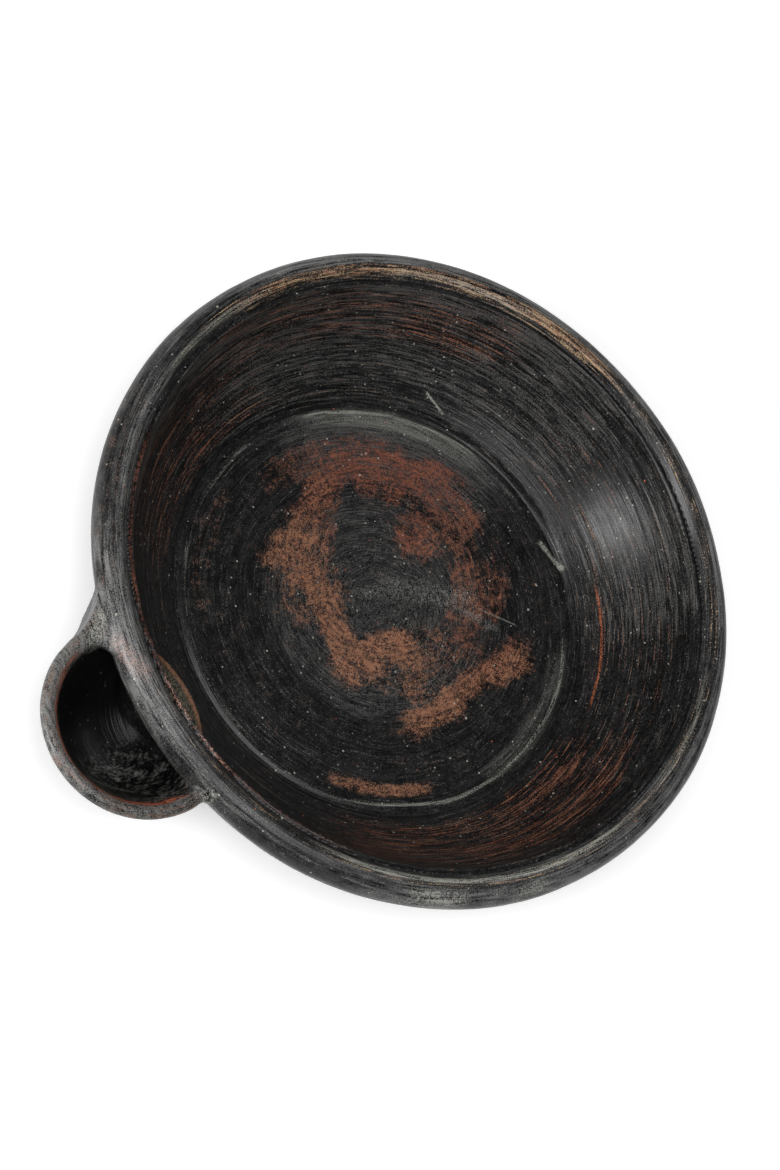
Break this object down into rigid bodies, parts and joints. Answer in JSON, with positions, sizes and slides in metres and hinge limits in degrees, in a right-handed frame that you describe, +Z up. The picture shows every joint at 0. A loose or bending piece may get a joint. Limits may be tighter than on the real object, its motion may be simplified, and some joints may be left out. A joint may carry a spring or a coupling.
{
  "type": "handled clay bowl",
  "caption": "Wide shallow clay bowl with a rolled rim and a hollow half-cup handle, open on top and joined to the inside by a hole under the rim.",
  "frame": {"origin": "centre of the foot's underside, on the bowl's axis", "axes": "+Z up along the bowl's axis, +X towards the half-cup handle"},
  "size_m": [0.3438, 0.3, 0.064],
  "materials": {
    "clay": "burnished black-grey earthenware with rust-red worn patches"
  },
  "bodies": {
    "root": {"clay_bowl": "clay"}
  },
  "joints": []
}
